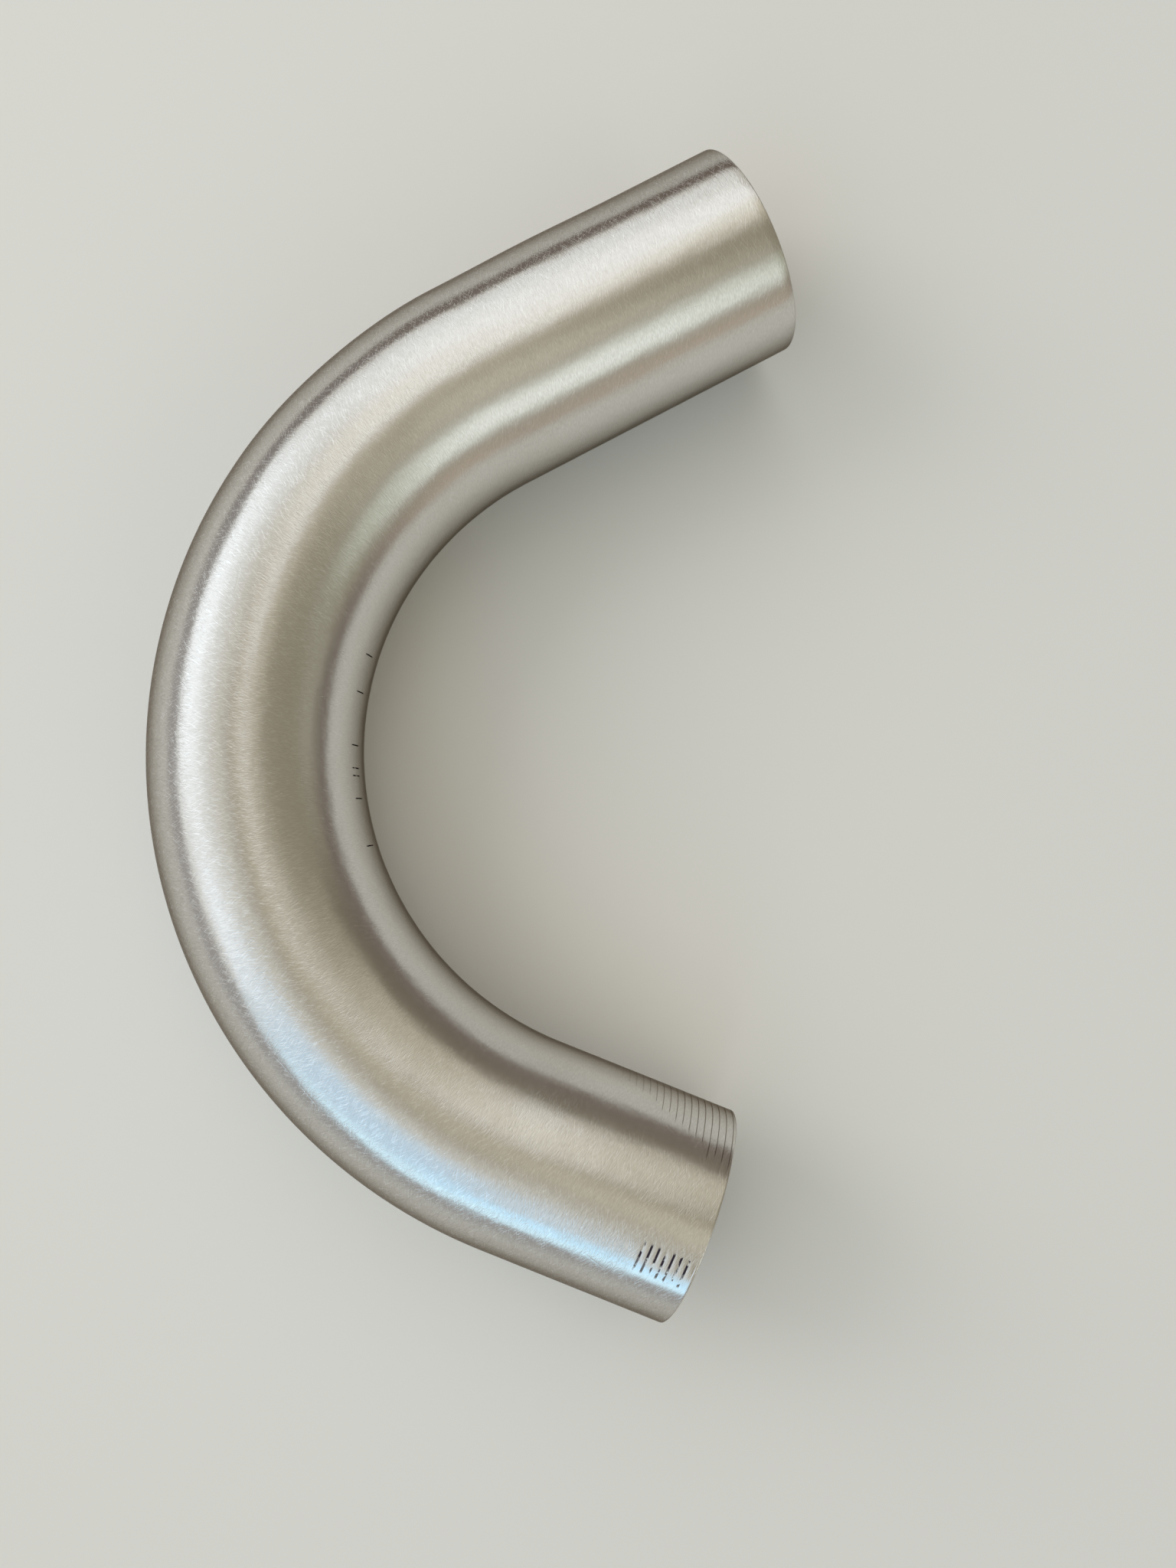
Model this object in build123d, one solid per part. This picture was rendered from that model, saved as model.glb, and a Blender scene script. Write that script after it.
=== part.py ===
from build123d import *

import os
from math import cos, radians, sin

# Tube, in millimetres
tube_diameter = 63.5
wall = 2.0

# Run of the centreline, in millimetres and degrees
long_leg = 93.0
bend_radius = 127.0
bend_angle = 130.0
short_leg = 56.0

# Deburring of the cut ends
end_chamfer = 0.3

tube_radius = tube_diameter / 2
bore_radius = tube_radius - wall

# Bending stretches the outer wall of the tube and packs the inner one. By the shop rule
# the outer wall loses this much, and the inner wall gains it, halfway round the bend.
wall_shift = wall * tube_radius / (2 * bend_radius + tube_radius)

# The bore follows an arc of its own, tangent to the same two legs but slightly tighter.
# It leaves each leg a little later than the outside does, cuts the corner less, and so
# runs out of centre by the wall shift halfway round.
half_turn = radians(bend_angle / 2)
bore_arc_shortfall = wall_shift * cos(half_turn) / (1 - cos(half_turn))
bore_leg_gain = wall_shift * sin(half_turn) / (1 - cos(half_turn))


def centreline(arc_radius, leg_gain):
    """The middle line of one skin of the tube, from the long leg's end to the short leg's."""
    long_run = Line((0, 0), (-long_leg - leg_gain, 0))
    bend = JernArc(start=long_run @ 1, tangent=long_run % 1, radius=arc_radius, arc_size=bend_angle)
    short_run = Line(bend @ 1, (bend @ 1) + (short_leg + leg_gain) * (bend % 1))
    return Wire([long_run, bend, short_run])


def bar_along(path, radius):
    """The round bar that one skin of the tube encloses."""
    end_plane = Plane(origin=path @ 0, z_dir=path % 0)
    return sweep(end_plane * Circle(radius), path=path)


def pipe_bend():
    """The bent tube: its outside less its bore, with both ends cut square and deburred."""
    outside = bar_along(centreline(bend_radius, 0), tube_radius)
    bore = bar_along(centreline(bend_radius - bore_arc_shortfall, bore_leg_gain), bore_radius)
    tube = outside - bore
    rims = tube.faces().filter_by(GeomType.PLANE).edges()
    return chamfer(rims, end_chamfer)


os.makedirs("parts", exist_ok=True)
export_step(pipe_bend(), "parts/pipe_bend.step")
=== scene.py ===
from math import atan2, cos, degrees, pi, radians, sin

import bmesh
import bpy
from mathutils import Matrix, Vector


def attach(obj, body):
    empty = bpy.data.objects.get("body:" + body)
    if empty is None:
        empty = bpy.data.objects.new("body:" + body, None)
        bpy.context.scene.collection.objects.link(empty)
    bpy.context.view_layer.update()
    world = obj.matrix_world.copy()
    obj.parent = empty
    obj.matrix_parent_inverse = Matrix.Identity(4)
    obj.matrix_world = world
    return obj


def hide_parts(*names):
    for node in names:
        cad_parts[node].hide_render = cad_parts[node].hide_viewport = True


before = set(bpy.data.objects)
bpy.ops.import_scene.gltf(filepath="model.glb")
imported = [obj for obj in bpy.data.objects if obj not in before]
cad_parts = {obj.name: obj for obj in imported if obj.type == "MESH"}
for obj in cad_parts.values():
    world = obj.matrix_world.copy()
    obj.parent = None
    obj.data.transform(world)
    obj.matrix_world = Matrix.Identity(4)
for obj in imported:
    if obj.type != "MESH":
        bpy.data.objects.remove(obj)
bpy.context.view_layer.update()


# The pipe bend is one length of round aluminium tube, bent cold over a mandrel and sawn
# square at both ends. Its metal is drawn into two skins here, the outside and the bore,
# which the two sawn rims join. Metres and radians, from the centre of the long mouth.
tube_radius = 0.03175
wall = 0.002
long_leg = 0.093
short_leg = 0.056
bend_radius = 0.127
bend_angle = radians(130)
edge_break = 0.0003

bend_length = bend_radius * bend_angle
whole_length = long_leg + bend_length + short_leg
bend_centre = Vector((-long_leg, -bend_radius, 0))
bend_end = bend_centre + bend_radius * Vector((-sin(bend_angle), cos(bend_angle), 0))
short_way = Vector((-cos(bend_angle), -sin(bend_angle), 0))

# The stretched outer wall is the thinner one, because the bore turns on a tighter arc
wall_shift = wall * tube_radius / (2 * bend_radius + tube_radius)
bore_leg_gain = wall_shift * sin(bend_angle / 2) / (1 - cos(bend_angle / 2))
bore_arc_shortfall = wall_shift * cos(bend_angle / 2) / (1 - cos(bend_angle / 2))

# How finely the two skins are drawn
segments_round = 168
leg_step = 0.003
bend_turns = 104
plain_steps = 9
bore_leg_steps = 8
bore_turns = 56
bore_short_steps = 5

# The clamp that held the short leg has left a row of pressed rings near its end
ring_pitch = 0.00217
first_ring = 0.00095
ring_count = 15
ring_depth = 0.00003
ring_half_width = 0.00022
ring_profile = (-1, -0.45, 0, 0.45, 1)


def ends_of(found):
    """The newest loop of edges in what an extrusion or a spin gives back."""
    return [e for e in found if isinstance(e, bmesh.types.BMEdge) and e.is_boundary]


def draw_on(metal, loop, move):
    """Draws the open end of a skin on by one straight step."""
    made = bmesh.ops.extrude_edge_only(metal, edges=loop)["geom"]
    corners = [v for v in made if isinstance(v, bmesh.types.BMVert)]
    bmesh.ops.translate(metal, verts=corners, vec=move)
    return ends_of(made)


def skin(metal, radius, arc_radius, leg_gain, long_steps, turns, short_stops):
    """One skin of the tube, from the long mouth round the bend to the short one."""
    upright = Matrix.Rotation(pi / 2, 4, "Y")
    ring = bmesh.ops.create_circle(metal, segments=segments_round, radius=radius, matrix=upright)
    mouth = list(dict.fromkeys(e for v in ring["verts"] for e in v.link_edges))
    loop = mouth
    for _ in range(long_steps):
        loop = draw_on(metal, loop, Vector((-(long_leg + leg_gain) / long_steps, 0, 0)))
    centre = Vector((-long_leg - leg_gain, -arc_radius, 0))
    swept = bmesh.ops.spin(metal, geom=loop, cent=centre, axis=(0, 0, 1), angle=bend_angle,
                           steps=turns, use_duplicate=False)["geom_last"]
    loop = [e for e in swept if isinstance(e, bmesh.types.BMEdge)]
    drawn = 0
    for stop in short_stops:
        loop = draw_on(metal, loop, (stop - drawn) * short_way)
        drawn = stop
    return mouth, loop


def along_tube(point):
    """How far round the bend a point lies, which way is outward there, and how far outward."""
    from_centre = point - bend_centre
    turned = atan2(from_centre.y, from_centre.x) % (2 * pi) - pi / 2
    if 0 < turned <= bend_angle:
        outward = Vector((from_centre.x, from_centre.y, 0)).normalized()
        return long_leg + turned * bend_radius, outward, from_centre.dot(outward) - bend_radius
    if point.x > -long_leg:
        return -point.x, Vector((0, 1, 0)), point.y
    outward = Vector((-sin(bend_angle), cos(bend_angle), 0))
    past_bend = (point - bend_end).dot(short_way)
    return long_leg + bend_length + past_bend, outward, (point - bend_end).dot(outward)


# Stops on the short leg: close ones across each ring, and wider ones towards the bend
outer_stops = []
for ring in range(ring_count):
    at = short_leg - first_ring - ring * ring_pitch
    for share in ring_profile:
        outer_stops.append(at + share * ring_half_width)
    outer_stops.append(at - ring_pitch / 2)
lowest = min(outer_stops)
outer_stops += [lowest * step / plain_steps for step in range(1, plain_steps)] + [short_leg]
outer_stops.sort()
bore_stops = [(short_leg + bore_leg_gain) * (step + 1) / bore_short_steps
              for step in range(bore_short_steps)]

metal = bmesh.new()
outer_rims = skin(metal, tube_radius, bend_radius, 0,
                  round(long_leg / leg_step), bend_turns, outer_stops)
outer_corners = list(metal.verts)
bore_rims = skin(metal, tube_radius - wall, bend_radius - bore_arc_shortfall, bore_leg_gain,
                 bore_leg_steps, bore_turns, bore_stops)

# Each sawn rim is drawn in from the outer skin and welded to the bore
weld_gap = 0.00001
mouths = (Vector((0, 0, 0)), bend_end + short_leg * short_way)
for outer, bore, centre in zip(outer_rims, bore_rims, mouths):
    made = bmesh.ops.extrude_edge_only(metal, edges=outer)["geom"]
    corners = [v for v in made if isinstance(v, bmesh.types.BMVert)]
    for corner in corners:
        corner.co = centre + (corner.co - centre) * (1 - wall / tube_radius)
    meeting = list(dict.fromkeys(corners + [v for e in bore for v in e.verts]))
    bmesh.ops.remove_doubles(metal, verts=meeting, dist=weld_gap)
bmesh.ops.recalc_face_normals(metal, faces=metal.faces)

# A draw bend is never quite round: its outer side stands proud just before the bend and is
# pulled flat just after the bend's start. The rings are pressed in where the clamp gripped:
# one jaw on the inner side of the bend, and one narrow pad beside the top line. Its sides
# are in shares of the tube's radius, outward.
hump = 0.00042
hump_reach = 0.062
jaw_edge = -0.50
jaw_slant = 12
jaw_fade = 0.1
pad_middle = 0.25
pad_half_width = 0.12
pad_reach = 0.0175
for corner in outer_corners:
    run, outward, out = along_tube(corner.co)
    into_bend = run - long_leg
    lift = 0
    if out > 0 and abs(into_bend) < hump_reach:
        swell = sin(pi * into_bend / hump_reach) ** 2
        lift = (-swell if into_bend > 0 else swell) * hump * (out / tube_radius) ** 2
    from_end = whole_length - run
    nearest = round((from_end - first_ring) / ring_pitch)
    off_ring = abs(from_end - first_ring - nearest * ring_pitch)
    side = out / tube_radius
    jaw_grip = max(0, min(1, (jaw_edge - jaw_slant * from_end - side) / jaw_fade))
    pad_grip = max(0, 1 - abs(side - pad_middle) / pad_half_width) if from_end < pad_reach else 0
    if 0 <= nearest < ring_count and off_ring < ring_half_width:
        lift -= ring_depth * (jaw_grip + pad_grip) * (1 - off_ring / ring_half_width)
    corner.co += lift * (out * outward + Vector((0, 0, corner.co.z))) / tube_radius

# The four edges of the sawn rims, which are the only sharp ones, are broken
sharp_turn = 1
rim_edges = [e for e in metal.edges if e.calc_face_angle(0) > sharp_turn]
bmesh.ops.bevel(metal, geom=rim_edges, offset=edge_break, offset_type="OFFSET",
                affect="EDGES", segments=3, profile=0.5, material=-1)

# Every corner keeps how far along the tube it lies, how far outward and how far up
run_map = metal.verts.layers.float_vector.new("run_of_tube")
for corner in metal.verts:
    run, outward, out = along_tube(corner.co)
    corner[run_map] = Vector((run, out, corner.co.z))
for face in metal.faces:
    face.smooth = True
tube_mesh = bpy.data.meshes.new("pipe_bend_metal")
metal.to_mesh(tube_mesh)
metal.free()
tube = bpy.data.objects.new("pipe_bend_tube", tube_mesh)
bpy.context.scene.collection.objects.link(tube)


class Value:
    """A socket of a node tree that can be reckoned with: an expression adds its Math nodes."""

    def __init__(self, shader, socket):
        self.shader, self.socket = shader, socket

    def reckon(self, operation, *others):
        return self.shader.node("ShaderNodeMath", {"operation": operation},
                                dict(enumerate([self, *others])))

    def __add__(self, other):
        return self.reckon("ADD", other)

    def __mul__(self, other):
        return self.reckon("MULTIPLY", other)

    def __sub__(self, other):
        return self.reckon("SUBTRACT", other)

    def __rsub__(self, other):
        return self.reckon("MULTIPLY_ADD", -1, other)

    def __truediv__(self, other):
        return self.reckon("DIVIDE", other)

    def __pow__(self, other):
        return self.reckon("POWER", other)

    __radd__ = __add__
    __rmul__ = __mul__

    def eased(self, start, end):
        """0 before start and 1 after end, with a soft change between; the two may be swapped."""
        return self.shader.node("ShaderNodeMapRange", {"interpolation_type": "SMOOTHSTEP"},
                                {"Value": self, "From Min": start, "From Max": end})


class Shader:
    """The node tree of one material or of the world."""

    def __init__(self, owner):
        owner.use_nodes = True
        self.tree = owner.node_tree
        self.tree.nodes.clear()

    def node(self, kind, settings=None, values=None, out=0):
        made = self.tree.nodes.new(kind)
        for name, setting in (settings or {}).items():
            setattr(made, name, setting)
        for name, value in (values or {}).items():
            if isinstance(value, Value):
                self.tree.links.new(value.socket, made.inputs[name])
            else:
                made.inputs[name].default_value = value
        return Value(self, made.outputs[out]) if made.outputs else made

    def vector(self, x, y, z):
        return self.node("ShaderNodeCombineXYZ", None, {0: x, 1: y, 2: z})

    def parts(self, vector):
        return [self.node("ShaderNodeSeparateXYZ", None, {0: vector}, out=i) for i in range(3)]

    def noise(self, vector, scale, detail, roughness):
        return self.node("ShaderNodeTexNoise", None, {"Vector": vector, "Scale": scale,
                                                      "Detail": detail, "Roughness": roughness})

    def mixed(self, share, first, second):
        return self.node("ShaderNodeMix", {"data_type": "RGBA"},
                         {0: share, 6: first, 7: second}, out=2)


# The tube is bare aluminium, brushed round its girth with an abrasive pad, so fine
# scratches lie across its length. The pad has slanted them a little and cut some deeper.
# The clamp left dark rubber where its pad closed, and rubbed the brushing flat round it.
bare_metal = (0.74, 0.725, 0.70, 1)
dull_metal = (0.68, 0.655, 0.62, 1)
scored_metal = (0.42, 0.40, 0.37, 1)
bright_cut = (0.92, 0.915, 0.905, 1)
# Painted shade and reflection: a dark brown tint on the grazing reflection darkens both flanks of
# the tube, as if they mirrored a dark brown table
painted_flank_shade = (0.25, 0.205, 0.165, 1)
rubber_smear = (0.030, 0.022, 0.035, 1)
ring_line_brown = (0.15, 0.11, 0.085, 1)
polish = 0.09
bore_roughness = 0.3
cut_depth = 0.000026

brushed_aluminium = bpy.data.materials.new("brushed_aluminium")
finish = Shader(brushed_aluminium)
place = finish.node("ShaderNodeAttribute", {"attribute_name": "run_of_tube"}, out=1)
run, out, up = finish.parts(place)

# Where a point lies round the girth: as a length from the top line, and in degrees from
# the outer side of the bend, 90 on top. Both break only along the underside.
around = out.reckon("ARCTAN2", up) * tube_radius
round_at = 90 - around * degrees(1 / tube_radius)


def brushing(slant, width, length, layer):
    """One pass of the pad: scratches of about this width and length, off square by the slant."""
    across = (run + around * slant) / width
    along = (around - run * slant) / length
    return finish.noise(finish.vector(across, along, layer), scale=1.0, detail=2.0, roughness=0.55)


grain = brushing(slant=0.10, width=0.00032, length=0.0014, layer=1.0)
square_pass = brushing(slant=0.10, width=0.00040, length=0.0050, layer=5.0).eased(0.50, 0.66)
slant_pass = brushing(slant=0.40, width=0.00036, length=0.0046, layer=9.0).eased(0.54, 0.68)
back_pass = brushing(slant=-0.28, width=0.00036, length=0.0042, layer=13.0).eased(0.54, 0.68)
steep_pass = brushing(slant=0.85, width=0.00034, length=0.0050, layer=21.0).eased(0.60, 0.72)
scratches = square_pass + slant_pass + back_pass + steep_pass

# Stray scratches run any way, here and there. Slow waves are what bending left.
pad_wear = finish.noise(place, scale=60, detail=2.0, roughness=0.5)
strays = finish.noise(finish.vector(run * 14, around * 42, 3.0),
                      scale=1.0, detail=1.0, roughness=0.4)
stray_line = (strays - 0.5).reckon("ABSOLUTE").eased(0.0045, 0.0015)
stray_scratch = stray_line * pad_wear.eased(0.50, 0.62)
waves = finish.noise(finish.vector(run * 55, around * 95, 7.0),
                     scale=1.0, detail=2.0, roughness=0.5)
cloud = finish.noise(place, scale=42, detail=3.0, roughness=0.55)

# How far a point lies from the short mouth, and from the middle of the nearest ring
from_end = whole_length - run
ring_beat = finish.node("ShaderNodeMath", {"operation": "PINGPONG"},
                        {0: from_end + (ring_pitch / 2 - first_ring), 1: ring_pitch / 2})
off_ring = ring_pitch / 2 - ring_beat

# Rubber from the pad: a column of short black dashes, thinning to dots on its outer side
smear_line = off_ring.eased(0.00042, 0.00024)
smear_breaks = finish.noise(finish.vector(from_end * 460, around * 330, 2.0),
                            scale=1.0, detail=2.0, roughness=0.6)
under_pad = from_end.eased(0.0022, 0.0028) * from_end.eased(0.0172, 0.0166)
dashes = round_at.eased(70, 72.5) * round_at.eased(81.5, 79.5) * smear_breaks.eased(0.38, 0.46)
dots = round_at.eased(63, 65) * round_at.eased(72, 70) * smear_breaks.eased(0.47, 0.55) * 0.8
smear = under_pad * smear_line * (dashes + dots)

# The rings show as thin brown lines laid along their grooves on the inner side of the bend,
# longest at the mouth
ring_line_core = off_ring.eased(0.00020, 0.00007)
ring_line_breaks = finish.noise(finish.vector(from_end * 460, around * 160, 4.0),
                            scale=1.0, detail=1.0, roughness=0.5)
ring_line_reach = round_at - from_end * 1100 + ring_line_breaks * 16
ring_lines = ring_line_core * ring_line_reach.eased(131, 136) * from_end.eased(0.046, 0.010)

# Small dark nicks where the former touched the inside of the bend
nick_places = (0.194, 0.209, 0.230, 0.239, 0.242, 0.251, 0.270)
nearest_nick = 1
for nick in nick_places:
    nearest_nick = (run - nick).reckon("ABSOLUTE").reckon("MINIMUM", nearest_nick)
nicks = (nearest_nick.eased(0.00035, 0.00015) * round_at.eased(161, 163)
         * round_at.eased(172, 169) * smear_breaks.eased(0.30, 0.45))

# The drawn bore isn't brushed, and the patch round the rubber is rubbed half flat. The pad
# pressed hardest on the outer half of the bend, and left the inner half finer and duller.
from_axis = (out * out + up * up) ** 0.5
in_bore = from_axis.eased(tube_radius - wall * 0.45, tube_radius - wall * 0.55)
rubbed = from_end.eased(0.0190, 0.0150) * round_at.eased(55, 62) * round_at.eased(84, 78)
fine_lines = (1 - in_bore) * (1 - rubbed * 0.6)
pad_force = 0.38 + 0.62 * round_at.eased(110, 66)
brushed = fine_lines * pad_force
outer_flank = round_at.eased(64, 48)

# The colour and the height of each mark, and what the marks do to the polish
strokes = (grain * 0.4 - scratches * 0.45 - stray_scratch * 0.4) * brushed + waves * 6
scored = (grain.eased(0.36, 0.64) * fine_lines * 0.25
          + (square_pass + back_pass) * brushed * 0.22)
colour = finish.mixed(cloud, dull_metal, bare_metal)
colour = finish.mixed(scored * 0.7, colour, scored_metal)
colour = finish.mixed((slant_pass + steep_pass + back_pass) * brushed * 0.5, colour, bright_cut)
colour = finish.mixed(ring_lines * 0.75, colour, ring_line_brown)
colour = finish.mixed((smear + nicks).reckon("MINIMUM", 1), colour, rubber_smear)
roughness = (polish + scored * 0.16 + (1 - pad_force) * 0.19 + outer_flank * 0.13 + smear * 0.3)
outside = finish.node("ShaderNodeBsdfPrincipled", None, {
    "Base Color": colour,
    "Metallic": 1 - smear * 0.8,
    "Specular Tint": painted_flank_shade,
    "Roughness": roughness,
    "Normal": finish.node("ShaderNodeBump", None,
                          {"Strength": 1.0, "Distance": cut_depth, "Height": strokes}),
})
inside = finish.node("ShaderNodeBsdfPrincipled", None,
                     {"Base Color": dull_metal, "Metallic": 1.0, "Roughness": bore_roughness})
surface = finish.node("ShaderNodeMixShader", None, {0: in_bore, 1: outside, 2: inside})
finish.node("ShaderNodeOutputMaterial", None, {"Surface": surface})

tube_mesh.materials.append(brushed_aluminium)
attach(tube, "root")
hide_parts("pipe_bend")


# The table is a plain pale board, which the bend lies on by the whole of its underside.
# It is painted matt, so that it takes a soft shadow and mirrors nothing.
table_colour = (0.79, 0.775, 0.75, 1)
table_half = 2.5
board = bmesh.new()
bmesh.ops.create_grid(board, x_segments=8, y_segments=8, size=table_half,
                      matrix=Matrix.Translation((0, 0, -tube_radius)))
board_mesh = bpy.data.meshes.new("table_board")
board.to_mesh(board_mesh)
board.free()
table = bpy.data.objects.new("table", board_mesh)
bpy.context.scene.collection.objects.link(table)
pale_board = bpy.data.materials.new("pale_board")
paint = Shader(pale_board)
matt = paint.node("ShaderNodeBsdfPrincipled", None,
                  {"Base Color": table_colour, "Roughness": 0.9, "Specular IOR Level": 0.1})
paint.node("ShaderNodeOutputMaterial", None, {"Surface": matt})
board_mesh.materials.append(pale_board)


# The room is what the brushed metal mirrors: a warm dim ceiling and walls, one broad cool
# window on the left, and smaller lit or dark openings with soft edges. Angles are in
# degrees, round from +X and down from overhead.
room_strength = 1.13
near_ceiling = (0.50, 0.46, 0.36, 1)
far_ceiling = (0.28, 0.255, 0.19, 1)
brown_wall = (0.16, 0.13, 0.11, 1)
grey_wall = (0.36, 0.35, 0.345, 1)
grey_side = radians(190)
room = bpy.data.worlds.new("room")
bpy.context.scene.world = room
sky = Shader(room)
east, north, height = sky.parts(sky.node("ShaderNodeTexCoord"))
down = height.reckon("ARCCOSINE")


def opening(behind, middle, half, side_soft, top, top_soft, foot, foot_soft, colour):
    """One soft-edged lit or dark opening of the room, laid over what is behind it."""
    turn = radians(middle)
    ahead = east * cos(turn) + north * sin(turn)
    aside = north * cos(turn) - east * sin(turn)
    off = aside.reckon("ARCTAN2", ahead).reckon("ABSOLUTE")
    share = (off.eased(radians(half + side_soft), radians(half - side_soft))
             * down.eased(radians(top - top_soft), radians(top + top_soft))
             * down.eased(radians(foot + foot_soft), radians(foot - foot_soft)))
    return sky.mixed(share, behind, (*colour, 1))


light = sky.mixed(down.eased(radians(24), radians(2)), far_ceiling, near_ceiling)

# The pale wall on the left, the broad window in it, and the brighter panes of that window
light = opening(light, 145, 95, 12, 18, 12, 82, 10, (0.64, 0.63, 0.57))
light = opening(light, 148, 84, 8, 38, 14, 72, 9, (0.88, 0.91, 0.91))
light = opening(light, 62, 30, 8, 8, 5, 54, 10, (1.02, 1.04, 1.03))
light = opening(light, 90, 14, 10, 10, 5, 30, 9, (0.92, 0.89, 0.80))
light = opening(light, 132, 22, 10, 52, 10, 75, 6, (1.14, 1.21, 1.26))
light = opening(light, 172, 8, 5, 48, 8, 66, 6, (1.05, 1.13, 1.20))

# The blue daylight that falls on the outer side of the short leg
light = opening(light, 205, 22, 10, 36, 10, 76, 7, (0.62, 0.81, 0.98))
light = opening(light, 226, 13, 6, 59, 8, 80, 6, (0.66, 1.08, 1.42))
light = opening(light, 214, 22, 12, 66, 6, 84, 5, (0.84, 1.16, 1.34))

# The beige ceiling and the dark doorway that the inner side of the short leg mirrors
light = opening(light, 22, 14, 3, 17, 6, 56, 3, (0.55, 0.51, 0.41))
light = opening(light, 38, 10, 4, 14, 5, 36, 8, (0.88, 0.86, 0.75))
light = opening(light, 20, 14, 8, 15, 6, 23, 6, (0.74, 0.71, 0.62))
light = opening(light, 20, 24, 4, 60, 3, 78, 6, (0.16, 0.135, 0.10))
light = opening(light, -26, 12, 8, 58, 8, 78, 8, (0.36, 0.35, 0.28))

# The greenish window that makes the thin bright line along the inner side of the long leg
light = opening(light, 278, 34, 12, 7, 6, 34, 12, (0.60, 0.57, 0.47))
light = opening(light, 280, 24, 8, 42, 8, 67, 6, (1.00, 1.06, 1.02))
light = opening(light, 305, 10, 6, 44, 6, 64, 6, (0.56, 0.60, 0.50))

# The foot of the walls all round, grey on the left and brown on the right
low_wall = sky.mixed((east * cos(grey_side) + north * sin(grey_side)).eased(-0.6, 0.9),
                     brown_wall, grey_wall)
low_wall = opening(low_wall, 287, 16, 16, 50, 5, 110, 5, (0.46, 0.39, 0.31))
light = sky.mixed(down.eased(radians(72), radians(80)), light, low_wall)
glow = sky.node("ShaderNodeBackground", None, {"Color": light, "Strength": room_strength})
sky.node("ShaderNodeOutputWorld", None, {"Surface": glow})


# One broad softbox lifts the light on the table. The metal mirrors the room alone, so the
# softbox isn't seen in it.
softbox_size = 0.8
softbox_watts = 5.0
softbox_colour = (1.0, 0.985, 0.96)
softbox_distance = 1.6
softbox_side = radians(128)
softbox_rise = 0.63
lamp = bpy.data.lights.new("softbox", "AREA")
lamp.shape = "SQUARE"
lamp.size = softbox_size
lamp.energy = softbox_watts
lamp.color = softbox_colour
softbox = bpy.data.objects.new("softbox", lamp)
aim = Vector((cos(softbox_side), sin(softbox_side), softbox_rise)).normalized()
softbox.location = bend_centre + softbox_distance * aim
softbox.rotation_euler = aim.to_track_quat("Z", "Y").to_euler()
softbox.visible_glossy = False
bpy.context.scene.collection.objects.link(softbox)


# The photograph is taken by hand from nearly straight above, with a phone's usual lens. The
# place, the tilt and the lens are those at which the bend's outline meets the photograph's.
camera_place = (-0.140454, -0.142453, 0.367601)
camera_turn = (radians(3.902), radians(-1.18), radians(-28.224))
lens = bpy.data.cameras.new("camera")
lens.sensor_fit = "VERTICAL"
lens.sensor_height = 36
lens.lens = 27.856
lens.clip_start = 0.01
camera = bpy.data.objects.new("camera", lens)
camera.location = camera_place
camera.rotation_euler = camera_turn
bpy.context.scene.collection.objects.link(camera)
bpy.context.scene.camera = camera
bpy.context.scene.view_settings.view_transform = "Standard"
